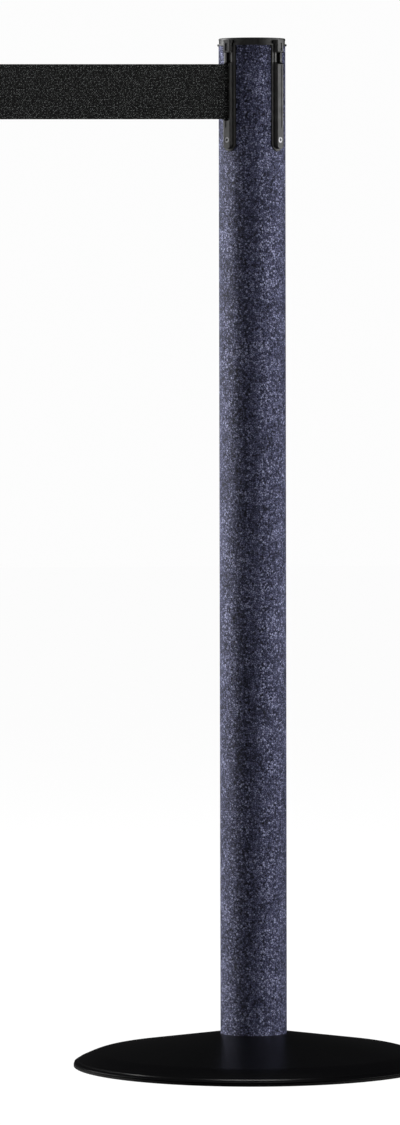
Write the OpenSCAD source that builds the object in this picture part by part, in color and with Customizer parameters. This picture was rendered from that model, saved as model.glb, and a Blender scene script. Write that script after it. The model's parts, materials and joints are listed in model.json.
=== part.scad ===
// Retractable belt stanchion: weighted base, tube post, and a head that holds a sprung belt cassette.
// Origin: centre of the base on the floor. +Z is up. The belt leaves the head along -X.

/* [Post] */
// Height from the floor to the top of the cap
overall_h = 978; // [900:1:1050]
// Outer diameter of the post tube
tube_d = 63.5; // [63:0.1:64]
// Wall of the post tube
tube_wall = 1.6; // [1.5:0.05:1.65]

/* [Base] */
// Diameter of the base over its cover
base_d = 343.2; // [325:0.1:352]
// Height of the cover where it meets the tube
base_hub_h = 31.4; // [31:0.1:32.5]
// Fall of the shallow cone for each millimetre outwards
base_slope = 0.152; // [0.14:0.002:0.16]
// Thickness of the base cover
cover_wall = 1.5; // [1:0.1:2]
// Height of the rubber floor ring
ring_h = 2.4; // [2.2:0.1:2.6]

/* [Head] */
// Distance from the top of the cap to the top of the tube
collar_h = 7; // [6.5:0.1:7.5]
// Width of the raised rib on each leg
rib_w = 9.2; // [8.8:0.1:9.6]
// Distance from the post's axis to the face of a rib
rib_face_r = 36.4; // [36:0.1:36.8]
// Width of each leg where it fills the tube's slot
leg_w = 14.2; // [13.6:0.1:14.6]
// Distance from the top of the cap to the lower end of a leg
leg_reach = 107; // [105:0.5:110]
// Distance from the top of the cap to the leg screws
screw_drop = 96.5; // [95:0.5:98]

/* [Belt] */
// Width of the belt
belt_w = 52; // [50:0.5:52]
// Thickness of the belt
belt_t = 0.5; // [0.4:0.05:0.6]
// Distance from the top of the cap to the middle of the belt
belt_drop = 51; // [50.5:0.1:51.5]
// Length of belt drawn out at rest, from the mouth to the clip
belt_out = 225; // [150:5:400]
// Radius of the wound belt at rest
roll_r = 19.4; // [15:0.1:20]

/* [Clip] */
// Length of the belt-end clip along the belt
clip_l = 24; // [24:0.5:27]
// Thickness of the clip
clip_t = 9; // [8.5:0.1:9.2]

/* [Hidden] */
$fn = 96;

tube_r = tube_d / 2;
bore_r = tube_r - tube_wall;
tube_foot_z = 18;
tube_top_z = overall_h - collar_h;

// base
base_r = base_d / 2;
floor_ring_r = base_r + 0.5;
ring_w = 10;
shoulder_w = 25.7;
rim_lip = 1.4;
weight_clear = 1.2;
bolt_r = 6;
recess_r = 24;
recess_top_z = 11;
washer_t = 2;
bolt_head_h = 7.3;
plug_h = 30;
dowel_at_r = 18;
dowel_r = 3;
dowel_foot_z = 12;
dowel_h = 15;

// head
leg_angles = [45, 135, 225, 315];
belt_leg = 225;
sleeve_r = bore_r - 0.15;
sleeve_in_r = 28.2;
leg_end_z = overall_h - leg_reach;
leg_proud = 1;
screw_z = overall_h - screw_drop;
notch_top_z = overall_h - 14;
notch_foot_z = overall_h - 23;
notch_wall_r = tube_r + 1.6;
pocket_w = 5.5;
pocket_r = 30.2;
pocket_foot_z = overall_h - 50;
flange_r = tube_r + 1.15;
collar_r = tube_r - 0.4;
collar_rib_turn = 54;
collar_rib_w = 0.8;
cap_t = 2;
groove_w = 3.4;
groove_deep = 0.45;
groove_lift = 22;
tab_recess_deep = 0.7;
tab_recess_h = 7.4;
screw_seat = 2.2;
screw_r = 2;
screw_head_r = 2.7;
lip_round = 1.5;
slot_w = 4;
slot_foot_z = overall_h - 78.4;
slot_top_z = overall_h - 21.3;

// belt
belt_z = overall_h - belt_drop;
belt_foot_z = belt_z - belt_w / 2;
mouth = [rib_face_r * cos(belt_leg), rib_face_r * sin(belt_leg)];
clip_x = mouth[0] - belt_out;

// cassette
plate_r = 28;
plate_t = 2.5;
floor_plate_z = 893;
drum_foot_z = 897.5;
drum_top_z = 957;
drum_flange_r = 22.5;
drum_flange_t = 1.8;
core_r = 7;
arbor_r = 6.5;
arbor_foot_z = 878;
spindle_r = 3;
spindle_top_z = 971.3;
bush_r = 5;
running_gap = 0.05;
cup_foot_z = 876;
cup_r = 23.5;
cup_wall = 1.5;
top_plate_z = 965;
head_shift = overall_h - 978;
pillar_at_r = 25.6;
pillar_r = 1.8;
pillar_screw_r = 1;
pillar_angles = [0, 90, 180, 270];
pin_offset = 2.7;
pin_at_r = 25.4;
pin_r = 1.5;

// brake
shoe_in_r = 9;
shoe_out_r = 18;
shoe_foot_z = 958;
shoe_h = 5;
shoe_span = 150;
brake_pin_at_r = 13.5;
brake_pin_r = 1.5;
brake_pin_turn = 12;
brake_ring_in_r = 19.5;
brake_ring_out_r = 21.5;
shoe_turns = [10, 190];

// clip
clip_foot_z = belt_foot_z - 2;
clip_top_z = notch_top_z;
clip_round = 2;
throat_w = 1.1;
loop_pin_r = 1.5;
loop_pin_x = clip_x - 7;
hook_gap = 2.3;
hook_t = 3;
button_x = clip_x - 12;
button_z = clip_top_z - 7;
button_r = 3.4;
button_proud = 2;
clip_screw_in = 5.5;
clip_screw_sink = clip_t / 2 - 1.5;
clip_screw_zs = [clip_foot_z + 8, belt_z - 2];

// ---------- shared shapes ----------

module ring(outer, inner, h) {
    difference() {
        cylinder(r = outer, h = h);
        translate([0, 0, -1]) cylinder(r = inner, h = h + 2);
    }
}

module at_leg(angle) {
    rotate([0, 0, angle]) children();
}

// Unit normal to the left of the path at point i
function path_normal(path, i) =
    let (a = path[max(i - 1, 0)], b = path[min(i + 1, len(path) - 1)], d = b - a)
    [-d[1], d[0]] / norm(d);

// Outline of a strip of thickness t along a flat path
function ribbon(path, t) = concat(
    [for (i = [0 : len(path) - 1]) path[i] + path_normal(path, i) * t / 2],
    [for (i = [len(path) - 1 : -1 : 0]) path[i] - path_normal(path, i) * t / 2]);

// Points of a flat spiral from radius a to radius b
function spiral(a, b, turns, steps) =
    [for (i = [0 : turns * steps]) let (q = i / steps * 360, r = a + (b - a) * i / (turns * steps))
        [r * cos(q), r * sin(q)]];

// ---------- base ----------

// Height of the cover's outer face at radius r on the shallow cone
function cone_z(r) = base_hub_h - base_slope * (r - tube_r);

// How far the shoulder has risen towards the cone, from 0 at the rim to 1
function shoulder_rise(t) = 0.4 * t * t * (3 - 2 * t) + 0.6 * (1 - (1 - t) * (1 - t));

// Half section of the dome whose outer face lies "inset" inside the cover's outer face:
// a shallow cone, then an S-shaped shoulder that falls to a thin rim
module base_section(inner_r, inset, foot_z) {
    steps = 10;
    drop = cone_z(base_r) - ring_h - rim_lip;
    polygon(concat(
        [[inner_r, foot_z], [base_r - inset, foot_z]],
        [for (i = [0 : steps]) let (t = i / steps, r = base_r - shoulder_w * t)
            [r - inset, max(cone_z(r) - drop * (1 - shoulder_rise(t)) - inset, foot_z + 0.1 + 0.01 * i)]],
        [[inner_r, cone_z(inner_r) - inset]]));
}

module floor_ring() {
    color("#151515")
    rotate_extrude($fn = 160)
        translate([floor_ring_r - ring_w, 0]) {
            square([ring_w, ring_h - 0.5]);
            square([ring_w - 0.6, ring_h]);
        }
}

module base_weight() {
    color("#3a3a3c")
    difference() {
        rotate_extrude($fn = 160) difference() {
            base_section(bolt_r + 0.6, cover_wall + 0.1, weight_clear);
            translate([floor_ring_r - ring_w - 0.3, 0]) square([ring_w + 2, ring_h]);
        }
        translate([0, 0, tube_foot_z]) cylinder(r = tube_r + 0.15, h = 40);
        translate([0, 0, -1]) cylinder(r = recess_r, h = recess_top_z + 1);
        for (a = [0, 180]) rotate([0, 0, a])
            translate([dowel_at_r, 0, dowel_foot_z]) cylinder(r = dowel_r, h = 20);
    }
}

module base_cover() {
    color("#0c0c0e")
    rotate_extrude($fn = 160) difference() {
        base_section(tube_r + 0.2, 0, ring_h);
        base_section(tube_r + 0.2 - 1, cover_wall, ring_h - 1);
    }
}

module base_washer() {
    color("silver")
    translate([0, 0, recess_top_z - washer_t]) ring(20, bolt_r + 0.3, washer_t);
}

module base_bolt() {
    color("silver") {
        translate([0, 0, recess_top_z - washer_t - bolt_head_h]) cylinder(r = 11, h = bolt_head_h, $fn = 6);
        translate([0, 0, recess_top_z - washer_t]) cylinder(r = bolt_r, h = 33);
    }
}

module tube_plug() {
    color("gray")
    translate([0, 0, tube_foot_z]) difference() {
        cylinder(r = bore_r, h = plug_h);
        translate([0, 0, -1]) cylinder(r = bolt_r + 0.05, h = plug_h + 2);
        for (a = [0, 180]) rotate([0, 0, a])
            translate([dowel_at_r, 0, -1]) cylinder(r = dowel_r, h = 11);
    }
}

module locating_pins() {
    color("silver")
    for (a = [0, 180]) rotate([0, 0, a])
        translate([dowel_at_r, 0, dowel_foot_z]) cylinder(r = dowel_r, h = dowel_h);
}

// ---------- tube ----------

module post_tube() {
    color("#3c3d52")
    difference() {
        translate([0, 0, tube_foot_z]) ring(tube_r, bore_r, tube_top_z - tube_foot_z);
        for (a = leg_angles) at_leg(a) leg_prism(leg_w + 1, leg_end_z - 0.5, tube_top_z + 5, 20, 40);
    }
}

// ---------- head ----------

// Upright bar with a round lower end, from radius r0 to r1 along +X
module leg_prism(w, foot, top, r0, r1) {
    translate([r0, -w / 2, foot + w / 2]) cube([r1 - r0, w, top - foot - w / 2]);
    translate([r0, 0, foot + w / 2]) rotate([0, 90, 0]) cylinder(r = w / 2, h = r1 - r0);
}

// Cross-section of a rib: its two outer corners are rounded
module rib_section() {
    corner = 1.1;
    translate([sleeve_in_r + 1, -rib_w / 2]) square([rib_face_r - corner - sleeve_in_r - 1, rib_w]);
    translate([sleeve_in_r + 1, -rib_w / 2 + corner])
        square([rib_face_r - sleeve_in_r - 1, rib_w - 2 * corner]);
    for (s = [-1, 1]) translate([rib_face_r - corner, s * (rib_w / 2 - corner)]) circle(r = corner);
}

module leg_solid() {
    // part that fills the tube's slot and stands a little proud of it
    intersection() {
        leg_prism(leg_w, leg_end_z, tube_top_z, sleeve_in_r + 1, tube_r + 3);
        cylinder(r = tube_r + leg_proud, h = overall_h);
    }
    // raised rib
    intersection() {
        translate([0, 0, leg_end_z]) linear_extrude(overall_h - cap_t - leg_end_z) rib_section();
        leg_prism(rib_w, leg_end_z + 2, overall_h, sleeve_in_r + 1, rib_face_r + 1);
    }
    // bead along the upper edge of the notch
    translate([rib_face_r, 0, notch_top_z + 0.5]) rotate([90, 0, 0])
        translate([0, 0, -rib_w / 2 + 1]) cylinder(r = 0.5, h = rib_w - 2, $fn = 32);
}

module leg_cuts() {
    // notch across the rib where a clip's hook goes in, with a sloping foot and low side walls
    translate([notch_wall_r, -rib_w, notch_foot_z]) cube([10, 2 * rib_w, notch_top_z - notch_foot_z]);
    translate([notch_wall_r, -rib_w, notch_foot_z]) rotate([0, 36, 0])
        cube([9, 2 * rib_w, 3]);
    translate([pocket_r, -pocket_w / 2, notch_foot_z - 1])
        cube([10, pocket_w, notch_top_z - notch_foot_z + 1]);
    // pocket behind the rib's face
    translate([pocket_r, -pocket_w / 2, pocket_foot_z])
        cube([4.2, pocket_w, notch_foot_z + 4 - pocket_foot_z]);
    // recess in the tab above the notch
    translate([rib_face_r - tab_recess_deep, -groove_w / 2, notch_top_z + 1.6])
        cube([2, groove_w, tab_recess_h]);
    // shallow groove down the face
    translate([rib_face_r - groove_deep, -groove_w / 2, leg_end_z + groove_lift])
        cube([2, groove_w, notch_foot_z - 3 - leg_end_z - groove_lift]);
    // screw hole and its counterbore
    translate([0, 0, screw_z]) rotate([0, 90, 0]) {
        translate([0, 0, 20]) cylinder(r = screw_r + 0.1, h = 20, $fn = 48);
        translate([0, 0, rib_face_r - screw_seat]) cylinder(r = screw_head_r + 0.3, h = 5, $fn = 48);
    }
}

// Slot that the belt leaves through, with rounded lips
module belt_mouth_cut() {
    translate([0, 0, slot_foot_z]) linear_extrude(slot_top_z - slot_foot_z) {
        translate([25, -slot_w / 2]) square([20, slot_w]);
        difference() {
            translate([rib_face_r - lip_round, -slot_w / 2 - lip_round])
                square([lip_round + 1, slot_w + 2 * lip_round]);
            for (s = [-1, 1])
                translate([rib_face_r - lip_round, s * (slot_w / 2 + lip_round)])
                    circle(r = lip_round);
        }
    }
}

module head_housing() {
    color("#303030")
    difference() {
        union() {
            // sleeve inside the tube
            translate([0, 0, leg_end_z - 3]) ring(sleeve_r, sleeve_in_r, tube_top_z - leg_end_z + 3);
            // flange that seats on the tube, and the collar above it with a narrow upright rib between legs
            translate([0, 0, tube_top_z]) ring(flange_r, sleeve_in_r, 1.5);
            translate([0, 0, tube_top_z]) ring(collar_r, sleeve_in_r, collar_h - cap_t);
            for (a = leg_angles) {
                at_leg(a) leg_solid();
                at_leg(a + collar_rib_turn) translate([collar_r - 0.5, -collar_rib_w / 2, tube_top_z])
                    cube([0.9, collar_rib_w, collar_h - cap_t]);
            }
        }
        for (a = leg_angles) at_leg(a) leg_cuts();
        at_leg(belt_leg) belt_mouth_cut();
    }
}

module top_cap() {
    color("#262626")
    translate([0, 0, overall_h - cap_t]) {
        rotate_extrude() {
            square([tube_r - 0.8, cap_t]);
            square([tube_r - 0.1, 1.3]);
            translate([tube_r - 0.8, 1.3]) circle(r = 0.7, $fn = 32);
        }
        translate([0, 0, -3.5]) ring(sleeve_in_r - 0.1, sleeve_in_r - 2, 3.5);
    }
}

module leg_screws() {
    color("silver")
    for (a = leg_angles) at_leg(a) translate([0, 0, screw_z]) rotate([0, 90, 0]) {
        difference() {
            translate([0, 0, rib_face_r - screw_seat]) cylinder(r = screw_head_r, h = 1.9, $fn = 48);
            translate([0, 0, rib_face_r - 1.5]) cylinder(r = 1.45, h = 5, $fn = 6);
        }
        translate([0, 0, 24.5]) cylinder(r = screw_r, h = rib_face_r - screw_seat - 24.5, $fn = 48);
    }
}

// ---------- cassette, fixed parts ----------

module lift() {
    translate([0, 0, head_shift]) children();
}

module mounting_ring() {
    color("gray")
    lift() difference() {
        translate([0, 0, cup_foot_z]) ring(plate_r, cup_r + 0.2, floor_plate_z - cup_foot_z);
        for (a = leg_angles) at_leg(a) translate([20, 0, screw_z - head_shift]) rotate([0, 90, 0])
            cylinder(r = screw_r + 0.02, h = 20, $fn = 48);
    }
}

module spring_cup() {
    color("#8d9096")
    lift() difference() {
        translate([0, 0, cup_foot_z]) cylinder(r = cup_r, h = floor_plate_z - cup_foot_z);
        translate([0, 0, cup_foot_z + cup_wall]) cylinder(r = cup_r - cup_wall, h = 40);
        translate([0, 0, cup_foot_z - 1]) cylinder(r = spindle_r + 0.02, h = 5);
    }
}

module power_spring() {
    color("#54585e")
    lift() translate([0, 0, cup_foot_z + 3])
        linear_extrude(11) polygon(ribbon(spiral(arbor_r + 0.7, cup_r - cup_wall - 0.3, 7, 16), 0.4));
}

module cassette_plate(z, hole_r) {
    translate([0, 0, z]) difference() {
        cylinder(r = plate_r, h = plate_t);
        translate([0, 0, -1]) cylinder(r = hole_r, h = plate_t + 2);
        for (a = pillar_angles) rotate([0, 0, a]) translate([pillar_at_r, 0, -1])
            cylinder(r = pillar_screw_r, h = plate_t + 2, $fn = 32);
    }
}

module cassette_floor_plate() {
    color("#8d9096") lift() cassette_plate(floor_plate_z, arbor_r + 0.8);
}

module cassette_top_plate() {
    color("#8d9096") lift() cassette_plate(top_plate_z, spindle_r + 0.02);
}

module cassette_pillars() {
    color("silver")
    lift() for (a = pillar_angles) rotate([0, 0, a])
        translate([pillar_at_r, 0, floor_plate_z + plate_t])
            ring(pillar_r, pillar_screw_r, top_plate_z - floor_plate_z - plate_t);
}

module cassette_screws() {
    color("silver")
    lift() for (a = pillar_angles) rotate([0, 0, a]) translate([pillar_at_r, 0, 0]) {
        translate([0, 0, top_plate_z - 6]) cylinder(r = pillar_screw_r, h = 6 + plate_t, $fn = 32);
        translate([0, 0, top_plate_z + plate_t]) difference() {
            cylinder(r = 1.9, h = 1.5, $fn = 32);
            translate([-3, -0.3, 0.8]) cube([6, 0.6, 2]);
        }
    }
}

module guide_pins() {
    color("silver")
    lift() at_leg(belt_leg) for (s = [-1, 1])
        translate([pin_at_r, s * pin_offset, floor_plate_z + plate_t])
            cylinder(r = pin_r, h = top_plate_z - floor_plate_z - plate_t, $fn = 48);
}

module spindle() {
    color("silver")
    lift() {
        translate([0, 0, cup_foot_z]) cylinder(r = spindle_r, h = spindle_top_z - cup_foot_z);
        translate([0, 0, cup_foot_z - 1.5]) cylinder(r = 5, h = 1.5);
    }
}

module spindle_nut() {
    color("silver")
    lift() translate([0, 0, top_plate_z + plate_t]) difference() {
        cylinder(r = 5.5, h = 3.2, $fn = 6);
        translate([0, 0, -1]) cylinder(r = spindle_r + 0.02, h = 6);
    }
}

module thrust_washers() {
    color("#c9b37a")
    lift() {
        translate([0, 0, cup_foot_z + cup_wall]) ring(5.8, spindle_r, 0.4);
        translate([0, 0, drum_top_z + 7.4]) ring(5.8, spindle_r, 0.6);
    }
}

module brake_ring() {
    color("#7d7f84")
    lift() translate([0, 0, shoe_foot_z])
        ring(brake_ring_out_r, brake_ring_in_r, top_plate_z - shoe_foot_z);
}

// ---------- drum ----------

module drum() {
    color("#d9d7cf")
    lift() difference() {
        union() {
            translate([0, 0, drum_foot_z]) cylinder(r = drum_flange_r, h = drum_flange_t);
            translate([0, 0, drum_top_z - drum_flange_t]) cylinder(r = drum_flange_r, h = drum_flange_t);
            translate([0, 0, drum_foot_z]) cylinder(r = core_r, h = drum_top_z - drum_foot_z);
            translate([0, 0, arbor_foot_z]) cylinder(r = arbor_r, h = 30);
            translate([0, 0, drum_top_z - 1]) cylinder(r = core_r - 0.8, h = 8.2);
        }
        translate([0, 0, arbor_foot_z - 1]) cylinder(r = spindle_r + 0.4, h = 120);
        translate([0, 0, arbor_foot_z - 1]) cylinder(r = bush_r, h = 9);
        translate([0, 0, drum_top_z - 1.8]) cylinder(r = bush_r, h = 20);
        for (a = shoe_turns) rotate([0, 0, a + brake_pin_turn])
            translate([brake_pin_at_r, 0, drum_top_z - 10])
                cylinder(r = brake_pin_r, h = 20, $fn = 48);
    }
}

module lower_bush() {
    color("#b98b3e")
    lift() translate([0, 0, arbor_foot_z]) ring(bush_r, spindle_r + running_gap, 8);
}

module upper_bush() {
    color("#b98b3e")
    lift() translate([0, 0, drum_top_z - 1.8]) ring(bush_r, spindle_r + running_gap, 9);
}

module belt_roll() {
    color("#1e1f1f")
    translate([0, 0, belt_foot_z]) ring(roll_r, core_r + 0.05, belt_w);
}

module brake_pins() {
    color("silver")
    lift() for (a = shoe_turns) rotate([0, 0, a + brake_pin_turn])
        translate([brake_pin_at_r, 0, drum_top_z - drum_flange_t])
            cylinder(r = brake_pin_r, h = drum_flange_t + 6.4, $fn = 48);
}

module brake_shoe(turn) {
    lift() rotate([0, 0, turn]) translate([0, 0, shoe_foot_z]) difference() {
        rotate_extrude(angle = shoe_span) translate([shoe_in_r, 0])
            square([shoe_out_r - shoe_in_r, shoe_h]);
        rotate([0, 0, brake_pin_turn]) translate([brake_pin_at_r, 0, -1])
            cylinder(r = brake_pin_r + running_gap, h = shoe_h + 2, $fn = 48);
    }
}

module brake_shoe_a() {
    color("#5a3a2a") brake_shoe(shoe_turns[0]);
}

module brake_shoe_b() {
    color("#5a3a2a") brake_shoe(shoe_turns[1]);
}

// ---------- belt ----------

// Run of belt inside the head, from the roll to the mouth
module belt_lead() {
    path_r = roll_r + belt_t / 2 + 0.1;
    tangent_q = asin(path_r / pin_at_r);
    tangent_l = sqrt(pin_at_r * pin_at_r - path_r * path_r) - 1;
    start = [pin_at_r - tangent_l * cos(tangent_q), -tangent_l * sin(tangent_q)];
    color("#1e1f1f")
    at_leg(belt_leg) translate([0, 0, belt_foot_z]) linear_extrude(belt_w)
        polygon(ribbon([start, [pin_at_r - 1, -0.9], [pin_at_r + 0.4, -0.1], [rib_face_r - 0.8, 0]], belt_t));
}

module belt_strip() {
    color("#1e1f1f")
    translate([mouth[0], mouth[1], belt_foot_z]) {
        cylinder(r = belt_t / 2, h = belt_w, $fn = 32);
        translate([-belt_out - 3, -belt_t / 2, 0]) cube([belt_out + 3, belt_t, belt_w]);
    }
}

module belt_loop() {
    color("#1e1f1f")
    translate([0, mouth[1], belt_foot_z]) {
        translate([loop_pin_x, 0, 0]) ring(loop_pin_r + belt_t, loop_pin_r, belt_w);
        translate([loop_pin_x + loop_pin_r + belt_t - 0.1, -belt_t / 2, 0])
            cube([clip_x - 3.3 - loop_pin_x - loop_pin_r - belt_t + 0.1, belt_t, belt_w]);
    }
}

// ---------- clip ----------

// Outline of the clip seen from above, centred on the belt, with rounded corners
module clip_section(inset) {
    r = clip_round;
    l = clip_l - 2 * inset;
    t = clip_t - 2 * inset;
    translate([-clip_l + inset, -t / 2]) {
        translate([r, 0]) square([l - 2 * r, t]);
        translate([0, r]) square([l, t - 2 * r]);
        for (x = [r, l - r], y = [r, t - r]) translate([x, y]) circle(r = r, $fn = 32);
    }
}

module clip_solid() {
    translate([0, 0, clip_foot_z + 0.8]) linear_extrude(clip_top_z - clip_foot_z - 1.6) clip_section(0);
    translate([0, 0, clip_foot_z]) linear_extrude(clip_top_z - clip_foot_z) clip_section(0.8);
}

// Everything cut out of both shells: throat, loop space, hook seat, button space and screw holes
module clip_cuts() {
    translate([-9.5, -throat_w / 2, belt_foot_z - 0.3]) cube([12, throat_w, belt_w + 0.6]);
    translate([-7, 0, belt_foot_z - 0.3]) cylinder(r = 2.6, h = belt_w + 0.6);
    translate([-clip_l - 1, -2, clip_top_z - 7.2]) cube([5, 4, 6.4]);
    translate([-clip_l + 3, -2.6, clip_top_z - 16]) cube([4.5, 5.2, 15]);
    translate([-12, 0, button_z]) rotate([90, 0, 0]) {
        translate([0, 0, 0.5]) cylinder(r = button_r + 0.3, h = 8);
        translate([0, 0, -3.2]) cylinder(r = 2.6, h = 6, $fn = 48);
    }
    for (z = clip_screw_zs) translate([-clip_l + clip_screw_in, 0, z]) rotate([90, 0, 0]) {
        translate([0, 0, -3]) cylinder(r = 1.1, h = 10, $fn = 32);
        translate([0, 0, clip_screw_sink]) cylinder(r = 2.2, h = 4, $fn = 32);
    }
}

// side is -1 for the front shell and 1 for the rear shell
module clip_shell(side) {
    gap = 0.02;
    translate([clip_x, mouth[1], 0]) difference() {
        clip_solid();
        clip_cuts();
        translate([-50, side > 0 ? gap - 20 : -gap, clip_foot_z - 5]) cube([100, 20, 100]);
    }
}

module clip_front_shell() {
    color("#2b2b2b") clip_shell(-1);
}

module clip_rear_shell() {
    color("#2b2b2b") clip_shell(1);
}

module clip_screws() {
    color("silver")
    translate([clip_x, mouth[1], 0])
    for (z = clip_screw_zs) translate([-clip_l + clip_screw_in, 0, z]) rotate([90, 0, 0]) {
        translate([0, 0, -2.9]) cylinder(r = 1.05, h = clip_screw_sink + 2.9, $fn = 32);
        difference() {
            translate([0, 0, clip_screw_sink]) cylinder(r = 2.1, h = 1.3, $fn = 32);
            translate([-3, -0.25, clip_t / 2 - 0.7]) cube([6, 0.5, 2]);
        }
    }
}

module loop_pin() {
    color("silver")
    translate([loop_pin_x, mouth[1], belt_foot_z]) cylinder(r = loop_pin_r - 0.02, h = belt_w);
}

module hook_tongue() {
    color("#3a3a3a")
    translate([clip_x - clip_l, mouth[1], 0]) {
        // plate held between the shells
        translate([3.2, -2.4, clip_top_z - 15.8]) cube([4.1, 4.8, 14.6]);
        // neck, then the tongue that hangs behind a rib's face
        translate([-hook_gap - 1, -1.9, clip_top_z - 7]) cube([hook_gap + 5, 3.8, 6]);
        translate([-hook_gap - hook_t, -2.4, clip_top_z - 31]) {
            cube([hook_t, 4.8, 30]);
            translate([0, 2.4, 0]) rotate([0, 90, 0]) cylinder(r = 2.4, h = hook_t, $fn = 48);
        }
    }
}

module release_button() {
    color("#8c1c1c")
    translate([button_x, mouth[1], button_z]) rotate([90, 0, 0]) difference() {
        union() {
            translate([0, 0, 2.9]) cylinder(r = button_r, h = clip_t / 2 - 2.9 + button_proud - 0.5);
            translate([0, 0, 2.9]) cylinder(r = button_r - 0.5, h = clip_t / 2 - 2.9 + button_proud);
        }
        translate([0, 0, 1]) cylinder(r = 1.9, h = 3.4, $fn = 48);
    }
}

// Helical return spring, as a swept wire
module button_spring() {
    wire = 0.3;
    coil = 1.4;
    turns = 4;
    foot = -3;
    top = 4.2;
    steps = 12;
    sides = 8;
    n = turns * steps;
    rings = [for (i = [0 : n]) let (q = i * 360 / steps, z = foot + 0.3 + (top - foot - 0.6) * i / n)
        [for (k = [0 : sides - 1]) let (w = k * 360 / sides, r = coil + wire * cos(w))
            [r * cos(q), r * sin(q), z + wire * sin(w)]]];
    points = [for (ring_points = rings, p = ring_points) p];
    faces = concat(
        [[for (k = [0 : sides - 1]) k]],
        [for (i = [0 : n - 1], k = [0 : sides - 1]) let (m = (k + 1) % sides)
            [i * sides + k, (i + 1) * sides + k, (i + 1) * sides + m, i * sides + m]],
        [[for (k = [sides - 1 : -1 : 0]) n * sides + k]]);
    color("silver")
    translate([button_x, mouth[1], button_z]) rotate([90, 0, 0])
        polyhedron(points = points, faces = faces, convexity = 6);
}

floor_ring();
base_weight();
base_cover();
base_washer();
base_bolt();
tube_plug();
locating_pins();
post_tube();
head_housing();
top_cap();
leg_screws();
mounting_ring();
spring_cup();
power_spring();
cassette_floor_plate();
cassette_top_plate();
cassette_pillars();
cassette_screws();
guide_pins();
spindle();
spindle_nut();
thrust_washers();
brake_ring();
drum();
lower_bush();
upper_bush();
belt_roll();
brake_pins();
brake_shoe_a();
brake_shoe_b();
belt_lead();
belt_strip();
belt_loop();
loop_pin();
clip_front_shell();
clip_rear_shell();
clip_screws();
hook_tongue();
release_button();
button_spring();
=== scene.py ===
import bmesh
import bpy
import json
import math
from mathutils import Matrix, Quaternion, Vector


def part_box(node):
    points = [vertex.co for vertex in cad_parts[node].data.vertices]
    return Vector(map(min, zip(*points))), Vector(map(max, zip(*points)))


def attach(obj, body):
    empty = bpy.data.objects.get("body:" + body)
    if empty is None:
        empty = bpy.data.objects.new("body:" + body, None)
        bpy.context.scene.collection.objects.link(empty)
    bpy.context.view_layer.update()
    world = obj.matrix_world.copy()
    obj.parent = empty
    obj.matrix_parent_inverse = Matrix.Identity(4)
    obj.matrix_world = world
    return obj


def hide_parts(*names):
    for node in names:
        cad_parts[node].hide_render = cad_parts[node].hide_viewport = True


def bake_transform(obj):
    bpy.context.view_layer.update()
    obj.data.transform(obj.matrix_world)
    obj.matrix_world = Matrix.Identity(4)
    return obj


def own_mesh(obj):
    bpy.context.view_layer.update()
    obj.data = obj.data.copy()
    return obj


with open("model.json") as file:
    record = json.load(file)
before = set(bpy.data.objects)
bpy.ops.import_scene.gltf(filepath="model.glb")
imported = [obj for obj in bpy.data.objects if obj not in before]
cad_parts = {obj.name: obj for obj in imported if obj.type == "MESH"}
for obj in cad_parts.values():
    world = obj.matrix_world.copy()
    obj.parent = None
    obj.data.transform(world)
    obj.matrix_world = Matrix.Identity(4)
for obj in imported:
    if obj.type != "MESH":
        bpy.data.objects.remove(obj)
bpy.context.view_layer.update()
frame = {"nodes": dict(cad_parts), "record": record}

# ---------- dimensions, in metres ----------

MM = 0.001
nodes = frame["nodes"]
cover_low, cover_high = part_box("base_cover")
strip_low, strip_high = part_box("belt_strip")

TUBE_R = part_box("post_tube")[1].x
COVER_R = cover_high.x
CLIP_FACE_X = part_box("clip_front_shell")[1].x
BELT_T = strip_high.y - strip_low.y
BELT_Y = (strip_low.y + strip_high.y) / 2
BELT_LOW, BELT_HIGH = strip_low.z, strip_high.z
# the belt leg stands at 45 degrees, and the mouth's axis is where its line meets the belt's plane
MOUTH = Vector((BELT_Y, BELT_Y, 0))
LEG_OUT = Vector((-1, -1, 0)).normalized()
LEG_SIDE = Vector((-1, 1, 0)).normalized()
BELT_DIR = Vector((-1, 0, 0))


# ---------- node helpers ----------

def new_material(name):
    mat = bpy.data.materials.new(name)
    mat.use_nodes = True
    tree = mat.node_tree
    tree.nodes.clear()
    out = tree.nodes.new("ShaderNodeOutputMaterial")
    shader = tree.nodes.new("ShaderNodeBsdfPrincipled")
    tree.links.new(shader.outputs["BSDF"], out.inputs["Surface"])
    return mat, tree, shader


def node(tree, kind, **settings):
    """A node with its properties set. A key that starts with in_ sets that input socket."""
    made = tree.nodes.new(kind)
    for key, value in settings.items():
        if key.startswith("in_"):
            socket = key[3:]
            made.inputs[socket.replace("_", " ")].default_value = value
        else:
            setattr(made, key, value)
    return made


def link(tree, source, target):
    tree.links.new(source, target)


def math_node(tree, operation, a, b=None, c=None):
    """A sum on up to three numbers or outputs of other nodes."""
    made = tree.nodes.new("ShaderNodeMath")
    made.operation = operation
    for index, value in enumerate((a, b, c)):
        if value is None:
            continue
        if isinstance(value, (int, float)):
            made.inputs[index].default_value = value
        else:
            tree.links.new(value, made.inputs[index])
    return made.outputs[0]


def object_coords(tree, scale=(1, 1, 1)):
    coords = node(tree, "ShaderNodeTexCoord")
    mapping = node(tree, "ShaderNodeMapping")
    mapping.inputs["Scale"].default_value = scale
    link(tree, coords.outputs["Object"], mapping.inputs["Vector"])
    return mapping.outputs["Vector"]


def noise(tree, vector, scale, detail=4.0, roughness=0.55, distortion=0.0):
    made = node(tree, "ShaderNodeTexNoise", in_Scale=scale, in_Detail=detail,
                in_Roughness=roughness, in_Distortion=distortion)
    link(tree, vector, made.inputs["Vector"])
    return made.outputs["Fac"]


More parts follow.
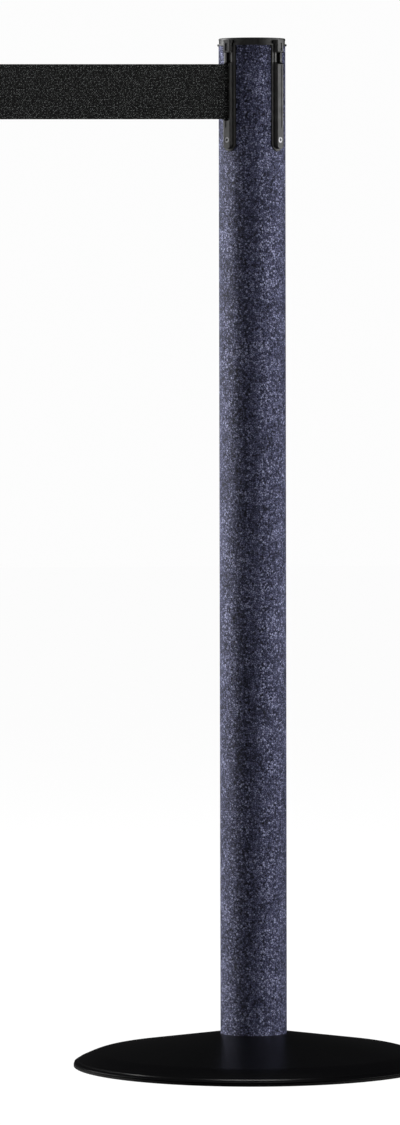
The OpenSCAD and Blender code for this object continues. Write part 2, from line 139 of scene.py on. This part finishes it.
def ramp(tree, value, stops):
    """Colour ramp from (position, grey or colour) stops."""
    made = tree.nodes.new("ShaderNodeValToRGB")
    elements = made.color_ramp.elements
    while len(elements) < len(stops):
        elements.new(0.5)
    for element, (position, colour) in zip(elements, stops):
        element.position = position
        grey = isinstance(colour, (int, float))
        element.color = (colour, colour, colour, 1) if grey else (*colour, 1)
    link(tree, value, made.inputs["Fac"])
    return made.outputs["Color"]


def bump(tree, height, strength, distance, normal=None):
    """Relief from height, on top of an earlier bump's normal if one is given."""
    made = node(tree, "ShaderNodeBump", in_Strength=strength, in_Distance=distance)
    link(tree, height, made.inputs["Height"])
    if normal is not None:
        link(tree, normal, made.inputs["Normal"])
    return made.outputs["Normal"]


def mix_colour(tree, factor, source, colour):
    """The colour of source, mixed towards a fixed one by factor."""
    made = tree.nodes.new("ShaderNodeMix")
    made.data_type = "RGBA"
    link(tree, factor, made.inputs[0])
    link(tree, source, made.inputs[6])
    made.inputs[7].default_value = (*colour, 1)
    return made.outputs[2]


# ---------- materials ----------

GRAIN_SCALE = 540.0
GRAIN_WARP = 0.0016


def hammered_coat():
    """Slate-blue powder coat with a leather-like grain: islands about 2 mm across between fine creases,
    which are darkened with painted shade.
    """
    mat, tree, shader = new_material("tube_coat")
    position = object_coords(tree)
    warp = node(tree, "ShaderNodeTexNoise", in_Scale=330.0, in_Detail=3.0)
    link(tree, position, warp.inputs["Vector"])
    push = node(tree, "ShaderNodeVectorMath", operation="MULTIPLY_ADD")
    link(tree, warp.outputs["Color"], push.inputs[0])
    push.inputs[1].default_value = (GRAIN_WARP,) * 3
    link(tree, position, push.inputs[2])
    cells = node(tree, "ShaderNodeTexVoronoi", feature="DISTANCE_TO_EDGE", in_Scale=GRAIN_SCALE)
    link(tree, push.outputs[0], cells.inputs["Vector"])
    tint = node(tree, "ShaderNodeTexVoronoi", feature="F1", in_Scale=GRAIN_SCALE)
    link(tree, push.outputs[0], tint.inputs["Vector"])
    crease_and_painted_shade = ramp(tree, cells.outputs["Distance"], [(0.0, 0.0), (0.09, 0.75), (0.3, 1.0)])
    fine = noise(tree, position, 1500.0, 4.0, 0.65)
    patch = noise(tree, position, 40.0, 3.0)
    grain = math_node(tree, "MULTIPLY_ADD", tint.outputs["Color"], 0.75, -0.1)
    level = math_node(tree, "ADD", grain, math_node(tree, "MULTIPLY", fine, 0.7))
    # painted shade: the grain's colour is darkened along the creases, which also drive the relief below
    level = math_node(tree, "MULTIPLY", level, crease_and_painted_shade)
    level = math_node(tree, "MULTIPLY", level, math_node(tree, "ADD", patch, 0.5))
    colour = ramp(tree, level, [(0.14, (0.001, 0.001, 0.003)), (0.33, (0.034, 0.038, 0.082)),
                                (0.6, (0.16, 0.17, 0.31)), (0.9, (0.5, 0.52, 0.76))])
    link(tree, colour, shader.inputs["Base Color"])
    rough = ramp(tree, fine, [(0.25, 0.42), (0.8, 0.62)])
    link(tree, rough, shader.inputs["Roughness"])
    shader.inputs["Specular IOR Level"].default_value = 0.3
    shader.inputs["Metallic"].default_value = 0.25
    relief = bump(tree, crease_and_painted_shade, 1.0, 0.0007)
    relief = bump(tree, fine, 1.0, 0.00035, relief)
    link(tree, relief, shader.inputs["Normal"])
    return mat


def moulded_plastic(name, colour, rough, grain=0.35):
    """Satin moulded plastic with a spark-eroded grain, faint flow marks and rubbed patches."""
    mat, tree, shader = new_material(name)
    position = object_coords(tree)
    grit = noise(tree, position, 4200.0, 3.0, 0.7)
    flow = noise(tree, position, 55.0, 3.0)
    rubbed = noise(tree, position, 160.0, 5.0, 0.6, 0.4)
    light = tuple(min(1.0, c * 1.7 + 0.006) for c in colour)
    dark = tuple(c * 0.7 for c in colour)
    worn = math_node(tree, "MULTIPLY", flow, rubbed)
    tone = ramp(tree, worn, [(0.1, dark), (0.25, colour), (0.45, light)])
    link(tree, tone, shader.inputs["Base Color"])
    link(tree, ramp(tree, rubbed, [(0.3, rough + 0.08), (0.75, rough - 0.08)]), shader.inputs["Roughness"])
    relief = bump(tree, grit, grain, 0.00006)
    link(tree, relief, shader.inputs["Normal"])
    return mat


def gloss_cover():
    """Deep gloss black moulding with orange peel, a little dust and hairline scuffs."""
    mat, tree, shader = new_material("cover_gloss")
    position = object_coords(tree)
    peel = noise(tree, position, 170.0, 2.0)
    dust = noise(tree, position, 900.0, 6.0, 0.75)
    scuff_coords = object_coords(tree, (24, 260, 60))
    scuff = noise(tree, scuff_coords, 9.0, 5.0, 0.7, 1.2)
    colour = ramp(tree, dust, [(0.62, (0.0018, 0.0018, 0.0022)), (0.78, (0.009, 0.009, 0.01))])
    link(tree, colour, shader.inputs["Base Color"])
    scuffed = math_node(tree, "MULTIPLY_ADD", ramp(tree, scuff, [(0.5, 0.0), (0.75, 1.0)]), 0.15, 0.3)
    link(tree, scuffed, shader.inputs["Roughness"])
    shader.inputs["Specular IOR Level"].default_value = 0.05
    height = node(tree, "ShaderNodeSeparateXYZ")
    link(tree, position, height.inputs[0])
    # dull at the lip, polished on the rolled rim, worn on the cone and polished again beside the tube
    rise = math_node(tree, "DIVIDE", height.outputs["Z"], cover_high.z)
    polish = ramp(tree, rise, [(0.13, 0.0), (0.16, 0.13), (0.25, 0.12),
                               (0.4, 0.035), (0.7, 0.05), (0.97, 0.14)])
    link(tree, polish, shader.inputs["Coat Weight"])
    shader.inputs["Coat Roughness"].default_value = 0.2
    link(tree, bump(tree, peel, 0.06, 0.0004), shader.inputs["Normal"])
    return mat


def ring_rubber():
    """Matt floor ring rubber, dusty, with a fine stipple."""
    mat, tree, shader = new_material("ring_rubber")
    position = object_coords(tree)
    stipple = noise(tree, position, 2600.0, 3.0, 0.7)
    dust = noise(tree, position, 30.0, 5.0, 0.6)
    colour = ramp(tree, dust, [(0.35, (0.004, 0.004, 0.004)), (0.7, (0.013, 0.0125, 0.012))])
    link(tree, colour, shader.inputs["Base Color"])
    link(tree, ramp(tree, dust, [(0.3, 0.62), (0.7, 0.85)]), shader.inputs["Roughness"])
    shader.inputs["Specular IOR Level"].default_value = 0.15
    link(tree, bump(tree, stipple, 0.5, 0.0001), shader.inputs["Normal"])
    return mat


def metal(name, colour, rough, grain_scale=(900, 900, 60)):
    """Plated or drawn metal: directional grain, cloudy plating and dark stains."""
    dirt = 0.25
    mat, tree, shader = new_material(name)
    drawn = noise(tree, object_coords(tree, grain_scale), 1.0, 4.0, 0.6)
    cloud = noise(tree, object_coords(tree), 120.0, 4.0)
    dark = tuple(c * (1 - dirt) for c in colour)
    link(tree, ramp(tree, cloud, [(0.3, dark), (0.65, colour)]), shader.inputs["Base Color"])
    shader.inputs["Metallic"].default_value = 1.0
    link(tree, ramp(tree, cloud, [(0.3, rough + 0.12), (0.7, rough)]), shader.inputs["Roughness"])
    link(tree, bump(tree, drawn, 0.3, 0.00005), shader.inputs["Normal"])
    return mat


def cast_iron():
    """Sand-cast iron under thin black paint, pitted and a little rusty."""
    mat, tree, shader = new_material("cast_iron")
    position = object_coords(tree)
    sand = noise(tree, position, 900.0, 6.0, 0.7)
    rust = noise(tree, position, 60.0, 6.0, 0.65)
    colour = ramp(tree, rust, [(0.45, (0.028, 0.028, 0.03)), (0.62, (0.05, 0.034, 0.026)),
                               (0.75, (0.11, 0.05, 0.025))])
    link(tree, colour, shader.inputs["Base Color"])
    shader.inputs["Metallic"].default_value = 0.35
    link(tree, ramp(tree, rust, [(0.4, 0.6), (0.7, 0.85)]), shader.inputs["Roughness"])
    link(tree, bump(tree, sand, 0.8, 0.0004), shader.inputs["Normal"])
    return mat


def webbing():
    """Black twill webbing. Its yarns are laid out by distance from the mouth and by height,
    so the weave keeps its size and direction however the belt is drawn or swung."""
    mat, tree, shader = new_material("webbing")
    coords = node(tree, "ShaderNodeTexCoord").outputs["Object"]
    offset = node(tree, "ShaderNodeVectorMath", operation="SUBTRACT")
    link(tree, coords, offset.inputs[0])
    offset.inputs[1].default_value = (MOUTH.x, MOUTH.y, 0)
    flat = node(tree, "ShaderNodeVectorMath", operation="MULTIPLY")
    link(tree, offset.outputs[0], flat.inputs[0])
    flat.inputs[1].default_value = (1, 1, 0)
    length = node(tree, "ShaderNodeVectorMath", operation="LENGTH")
    link(tree, flat.outputs[0], length.inputs[0])
    parts = node(tree, "ShaderNodeSeparateXYZ")
    link(tree, coords, parts.inputs[0])
    along, up = length.outputs["Value"], parts.outputs["Z"]

    yarn, pick = 1.3 * MM, 2.1 * MM
    ribs = math_node(tree, "SINE", math_node(tree, "MULTIPLY", up, math.pi / yarn))
    ribs = math_node(tree, "ABSOLUTE", ribs)
    slant = math_node(tree, "ADD", math_node(tree, "MULTIPLY", along, math.pi / pick),
                      math_node(tree, "MULTIPLY", up, math.pi / (2 * yarn)))
    floats = math_node(tree, "ABSOLUTE", math_node(tree, "SINE", slant))
    ribs, floats = math_node(tree, "POWER", ribs, 0.6), math_node(tree, "POWER", floats, 0.5)
    weave = math_node(tree, "MULTIPLY", ribs, floats)
    join = node(tree, "ShaderNodeCombineXYZ")
    link(tree, math_node(tree, "MULTIPLY", along, 0.8), join.inputs[0])
    link(tree, up, join.inputs[1])
    fuzz = noise(tree, join.outputs[0], 2300.0, 4.0, 0.7)
    wear = noise(tree, join.outputs[0], 45.0, 4.0)
    glint = noise(tree, join.outputs[0], 950.0, 2.0, 0.6)
    # painted highlight: bright glints on the yarn tops, shaped by the weave, are put into the base colour
    painted_glint = math_node(tree, "MULTIPLY", weave, ramp(tree, glint, [(0.5, 0.05), (0.61, 1.0)]))
    colour = ramp(tree, painted_glint, [(0.05, (0.002, 0.0022, 0.0021)), (0.35, (0.007, 0.008, 0.0077)),
                                (0.74, (0.52, 0.55, 0.54))])
    colour = mix_colour(tree, math_node(tree, "MULTIPLY", wear, 0.25), colour, (0.009, 0.01, 0.0097))
    link(tree, colour, shader.inputs["Base Color"])
    shader.inputs["Roughness"].default_value = 0.78
    shader.inputs["Sheen Weight"].default_value = 0.05
    shader.inputs["Sheen Roughness"].default_value = 0.4
    relief = bump(tree, weave, 0.8, 0.00022)
    relief = bump(tree, fuzz, 0.35, 0.0001, relief)
    link(tree, relief, shader.inputs["Normal"])
    return mat


def brake_lining():
    """Pressed brown lining with pale fibres."""
    mat, tree, shader = new_material("brake_lining")
    fibre = noise(tree, object_coords(tree, (1, 1, 3)), 1400.0, 5.0, 0.7)
    colour = ramp(tree, fibre, [(0.35, (0.03, 0.018, 0.012)), (0.6, (0.1, 0.06, 0.035)),
                                (0.8, (0.25, 0.17, 0.08))])
    link(tree, colour, shader.inputs["Base Color"])
    link(tree, ramp(tree, fibre, [(0.3, 0.75), (0.7, 0.9)]), shader.inputs["Roughness"])
    link(tree, bump(tree, fibre, 0.5, 0.0002), shader.inputs["Normal"])
    return mat


MATERIALS = {
    "tube_coat": hammered_coat(),
    "head_plastic": moulded_plastic("head_plastic", (0.02, 0.02, 0.0195), 0.5),
    "cap_plastic": moulded_plastic("cap_plastic", (0.018, 0.018, 0.018), 0.46),
    "cover_gloss": gloss_cover(),
    "ring_rubber": ring_rubber(),
    "cast_iron": cast_iron(),
    "steel": metal("steel", (0.27, 0.27, 0.28), 0.4),
    "spring_steel": metal("spring_steel", (0.16, 0.17, 0.21), 0.3),
    "drum_plastic": moulded_plastic("drum_plastic", (0.62, 0.6, 0.54), 0.4, 0.2),
    "bronze": metal("bronze", (0.6, 0.4, 0.17), 0.35, (500, 500, 500)),
    "brake_lining": brake_lining(),
    "webbing": webbing(),
    "clip_plastic": moulded_plastic("clip_plastic", (0.02, 0.02, 0.02), 0.4),
    "button_plastic": moulded_plastic("button_plastic", (0.05, 0.05, 0.052), 0.3, 0.15),
}

for part in frame["record"]["subparts"]:
    target = nodes[part["node"]]
    target.data.materials.clear()
    target.data.materials.append(MATERIALS[part["material_slot"]])


# ---------- mesh helpers ----------

SHARP_EDGE = 50


def mesh_object(name, verts, faces, slot):
    """A smooth-shaded mesh, sharp where its faces meet at more than SHARP_EDGE degrees."""
    mesh = bpy.data.meshes.new(name)
    mesh.from_pydata([tuple(v) for v in verts], [], faces)
    mesh.validate()
    mesh.update()
    shape = bmesh.new()
    shape.from_mesh(mesh)
    bmesh.ops.recalc_face_normals(shape, faces=shape.faces)
    shape.to_mesh(mesh)
    shape.free()
    made = bpy.data.objects.new(name, mesh)
    bpy.context.scene.collection.objects.link(made)
    mesh.materials.append(MATERIALS[slot])
    mesh.polygons.foreach_set("use_smooth", [True] * len(mesh.polygons))
    mesh.set_sharp_from_angle(angle=math.radians(SHARP_EDGE))
    return made


def lathe(name, section, slot, segments=256):
    """Turns a closed (radius, height) outline about the post's axis."""
    count = len(section)
    verts = [(r * math.cos(a), r * math.sin(a), z)
             for a in (2 * math.pi * i / segments for i in range(segments)) for r, z in section]
    faces = [(i * count + j, i * count + (j + 1) % count,
              ((i + 1) % segments) * count + (j + 1) % count, ((i + 1) % segments) * count + j)
             for i in range(segments) for j in range(count)]
    return mesh_object(name, verts, faces, slot)


def arc(centre, radius, start, end, steps):
    """Points of an arc, angles in degrees."""
    return [(centre[0] + radius * math.cos(math.radians(start + (end - start) * i / steps)),
             centre[1] + radius * math.sin(math.radians(start + (end - start) * i / steps)))
            for i in range(steps + 1)]


# ---------- base cover ----------

CONE_FALL = 0.152


def ease(t):
    """A smooth step from 0 to 1."""
    return t * t * (3 - 2 * t)


def cone_height(r):
    """Height of the cover's shallow cone at radius r."""
    return cover_high.z - CONE_FALL * (r - TUBE_R)


def cover_section():
    """The cover's outline: a shallow cone, an S-shaped shoulder and a thin rolled rim."""
    wall, shoulder, lip, foot = 1.5 * MM, 25.7 * MM, 1.4 * MM, cover_low.z
    hole = TUBE_R + 0.2 * MM
    roll_drop, roll_in, roll_w = 0.6 * MM, 4.4 * MM, 1.8 * MM
    bead, neck_r, foot_in = 0.6 * MM, 0.8 * MM, 5 * MM
    eased = 0.4
    drop = cone_height(COVER_R) - foot - lip - roll_drop
    steps = 96

    def outer(i):
        t = i / steps
        rise = eased * ease(t) + (1 - eased) * (1 - (1 - t) ** 2)
        r = COVER_R - shoulder * t
        roll = min(max((r - COVER_R + roll_in) / roll_w, 0.0), 1.0)
        return r, cone_height(r) - drop * (1 - rise) - roll_drop * ease(roll)

    shoulder_points = [outer(i) for i in range(4, steps + 1)]
    rim = arc((COVER_R - bead, foot + bead), bead, -90, 0, 6)
    rim += arc((COVER_R - bead, foot + lip - bead), bead, 0, 70, 6)
    cone = [(r, cone_height(r)) for r in
            (COVER_R - shoulder + (hole + neck_r - COVER_R + shoulder) * k / 40 for k in range(1, 41))]
    neck = arc((hole + neck_r, cone_height(hole + neck_r) - neck_r), neck_r, 90, 180, 8)[1:]
    inside = [(r, z - wall) for r, z in reversed(shoulder_points[12::12] + cone[::10])]
    under = [(hole, cone_height(hole) - wall)] + [p for p in inside if p[0] > hole + MM]
    return rim + shoulder_points + cone + neck + under + [(COVER_R - foot_in, foot)]


cover = lathe("cover_dome", cover_section(), "cover_gloss")
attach(cover, "post")
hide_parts("base_cover")


# ---------- belt ----------

def belt_outline():
    """The webbing's cross-section as (thickness offset, height) points: flat, with fuller selvedges."""
    half = BELT_T / 2
    height = BELT_HIGH - BELT_LOW
    edge, bead, rounded = 2.2 * MM, 0.08 * MM, 0.3 * MM
    count = 44
    side = []
    for i in range(count + 1):
        z = BELT_LOW + height * i / count
        near = min(z - BELT_LOW, BELT_HIGH - z)
        swell = bead * max(0.0, math.sin(math.pi * min(near / edge, 1.0)))
        pinch = 1.0 if near > rounded else 0.55 + 0.45 * near / rounded
        side.append(((half + swell) * pinch, z))
    return side + [(-t, z) for t, z in reversed(side)]


def belt_piece(name, path):
    """A run of webbing that stands along a level path."""
    outline = belt_outline()
    count = len(outline)
    verts = []
    for i, point in enumerate(path):
        ahead = path[min(i + 1, len(path) - 1)] - path[max(i - 1, 0)]
        normal = Vector((-ahead.y, ahead.x, 0)).normalized()
        verts += [point + normal * t + Vector((0, 0, z)) for t, z in outline]
    faces = [(i * count + j, i * count + (j + 1) % count,
              (i + 1) * count + (j + 1) % count, (i + 1) * count + j)
             for i in range(len(path) - 1) for j in range(count)]
    faces += [tuple(range(count)), tuple((len(path) - 1) * count + j for j in reversed(range(count)))]
    return mesh_object(name, verts, faces, "webbing")


def at_leg(out, side):
    """A point in the belt leg's own terms: distance out from the mouth's axis, and sideways."""
    return MOUTH + LEG_OUT * out + LEG_SIDE * side


def bend(a, corner, b, steps):
    """Points of the smooth curve that leaves a towards corner and arrives at b."""
    return [a * (1 - t) ** 2 + corner * 2 * t * (1 - t) + b * t * t
            for t in (i / steps for i in range(steps + 1))]


# The run starts this far past the mouth's axis, clear of the head, and reaches this far into the clip.
# This start and reach keep the overshoot out of the head and inside the clip.
BELT_START = 3.5 * MM
CLIP_REACH = 19 * MM
# how far along the belt from the mouth's axis the bend ends
BEND_END = 2.2 * MM
inner_run = [at_leg(-11.6 * MM, -0.9 * MM), at_leg(-8 * MM, -0.3 * MM), at_leg(-5 * MM, 0)]
mouth_path = inner_run + bend(at_leg(-2.4 * MM, 0), at_leg(-0.2 * MM, 0), MOUTH + BELT_DIR * BEND_END, 14)
mouth_path += [MOUTH + BELT_DIR * (BEND_END + (BELT_START - BEND_END) * i / 4) for i in range(1, 5)]
mouth_belt = belt_piece("belt_at_mouth", mouth_path)
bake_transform(mouth_belt)

run_end = MOUTH.x - CLIP_FACE_X + CLIP_REACH
run_steps = 150
run_path = [MOUTH + BELT_DIR * (BELT_START + (run_end - BELT_START) * i / run_steps)
            for i in range(run_steps + 1)]
run_belt = belt_piece("belt_run", run_path)
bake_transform(run_belt)
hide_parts("belt_strip")


# ---------- button spring ----------

def coil_spring(name, low, high, turns, wire, slot):
    """A helical spring along +Y that fills the box from low to high, with flat ends to its wire."""
    steps, sides = 20, 12
    centre = (low + high) / 2
    coil = (high.x - low.x) / 2 - wire
    count = turns * steps
    verts = []
    for i in range(count + 1):
        around = 2 * math.pi * i / steps
        out = Vector((math.cos(around), 0, math.sin(around)))
        y = low.y + wire + (high.y - low.y - 2 * wire) * i / count
        for k in range(sides):
            turn = 2 * math.pi * k / sides
            point = out * (coil + wire * math.cos(turn))
            verts.append((centre.x + point.x, y + wire * math.sin(turn), centre.z + point.z))
    faces = [(i * sides + k, i * sides + (k + 1) % sides,
              (i + 1) * sides + (k + 1) % sides, (i + 1) * sides + k)
             for i in range(count) for k in range(sides)]
    faces += [tuple(range(sides)), tuple(count * sides + k for k in reversed(range(sides)))]
    return mesh_object(name, verts, faces, slot)


COIL_TURNS, COIL_WIRE = 4, 0.3 * MM
spring_low, spring_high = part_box("button_spring")
button_coil = coil_spring("button_coil", spring_low, spring_high, COIL_TURNS, COIL_WIRE, "spring_steel")
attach(button_coil, "belt_end")
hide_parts("button_spring")
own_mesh(button_coil)


# ---------- camera ----------

def make_camera():
    """Long lens 6 m away, a little left of the front, turned so that the post stands right of centre."""
    distance, height = 6.0, 0.715
    azimuth, turn, pitch = math.radians(-3.2), math.radians(0.481), math.radians(-2.2386)
    roll = math.radians(0.12)
    data = bpy.data.cameras.new("camera")
    data.lens = 201.7
    data.sensor_width = 36
    camera = bpy.data.objects.new("camera", data)
    bpy.context.scene.collection.objects.link(camera)
    camera.location = (distance * math.sin(azimuth), -distance * math.cos(azimuth), height)
    heading = -azimuth - turn
    forward = Vector((math.sin(heading), math.cos(heading), math.tan(pitch)))
    camera.rotation_mode = "QUATERNION"
    camera.rotation_quaternion = forward.to_track_quat("-Z", "Y") @ Quaternion((0, 0, 1), -roll)
    data.clip_end = 60
    bpy.context.scene.camera = camera


make_camera()


# ---------- studio ----------

def softbox(name, bearing, distance, height, width, tall, power, aim_z=0.55, only=None):
    """A soft light at a bearing in degrees, measured from the front towards the right.
    With only, it lights that object alone."""
    light = bpy.data.lights.new(name, "AREA")
    light.shape = "RECTANGLE"
    light.size, light.size_y, light.energy = width, tall, power
    lamp = bpy.data.objects.new(name, light)
    bpy.context.scene.collection.objects.link(lamp)
    angle = math.radians(bearing)
    lamp.location = (distance * math.sin(angle), -distance * math.cos(angle), height)
    aim = Vector((0, 0, aim_z)) - lamp.location
    lamp.rotation_mode = "QUATERNION"
    lamp.rotation_quaternion = aim.to_track_quat("-Z", "Y")
    lamp.visible_camera = False
    if only:
        lit = bpy.data.collections.new(name + "_lights")
        lit.objects.link(only)
        lamp.light_linking.receiver_collection = lit


def stage_material():
    """Pale floor. The object sees it dimmer than the camera does, which keeps its bounce soft."""
    mat, tree, shader = new_material("stage_floor")
    tree.nodes.remove(shader)
    seen = node(tree, "ShaderNodeLightPath").outputs["Is Camera Ray"]
    pale = node(tree, "ShaderNodeBsdfDiffuse")
    pale.inputs["Color"].default_value = (0.12, 0.12, 0.12, 1)
    dim = node(tree, "ShaderNodeBsdfDiffuse")
    dim.inputs["Color"].default_value = (0.08, 0.08, 0.08, 1)
    glow = node(tree, "ShaderNodeEmission")
    glow.inputs["Color"].default_value = (1, 1, 1, 1)
    glow.inputs["Strength"].default_value = 0.97
    lit = node(tree, "ShaderNodeAddShader")
    link(tree, pale.outputs[0], lit.inputs[0])
    link(tree, glow.outputs[0], lit.inputs[1])
    mix = node(tree, "ShaderNodeMixShader")
    link(tree, seen, mix.inputs[0])
    link(tree, dim.outputs[0], mix.inputs[1])
    link(tree, lit.outputs[0], mix.inputs[2])
    link(tree, mix.outputs[0], tree.nodes["Material Output"].inputs["Surface"])
    return mat


def make_stage():
    """Floor, backdrop and lamps."""
    half = 12
    corners = [(-half, -half, 0), (half, -half, 0), (half, half, 0), (-half, half, 0)]
    mesh = bpy.data.meshes.new("stage_floor")
    mesh.from_pydata(corners, [], [(0, 1, 2, 3)])
    floor = bpy.data.objects.new("stage_floor", mesh)
    bpy.context.scene.collection.objects.link(floor)
    mesh.materials.append(stage_material())

    world = bpy.data.worlds.new("studio")
    world.use_nodes = True
    tree = world.node_tree
    tree.nodes.clear()
    seen = node(tree, "ShaderNodeLightPath").outputs["Is Camera Ray"]
    ambient, camera_glow = 0.02, 0.96
    strength = math_node(tree, "MULTIPLY_ADD", seen, camera_glow, ambient)
    background = node(tree, "ShaderNodeBackground")
    background.inputs["Color"].default_value = (1, 1, 1, 1)
    link(tree, strength, background.inputs["Strength"])
    out = node(tree, "ShaderNodeOutputWorld")
    link(tree, background.outputs[0], out.inputs["Surface"])
    bpy.context.scene.world = world

    softbox("left_box", -117, 2.6, 0.8, 1.3, 2.4, 88)
    softbox("left_front", -56, 2.6, 0.8, 0.8, 2.4, 12)
    softbox("right_box", 84, 2.6, 0.8, 2.2, 2.4, 80)
    softbox("front_fill", -4, 5.0, 1.0, 2.0, 2.0, 9)
    softbox("top_light", 175, 0.5, 2.6, 0.35, 0.35, 12, 0)
    softbox("rim_strip", -7, 0.2, 2.6, 1.2, 0.12, 20, 0, cover)
    softbox("rim_spot", -124, 2.3, 2.6, 0.3, 0.15, 7, 0, cover)
    bpy.context.scene.view_settings.view_transform = "Standard"


make_stage()
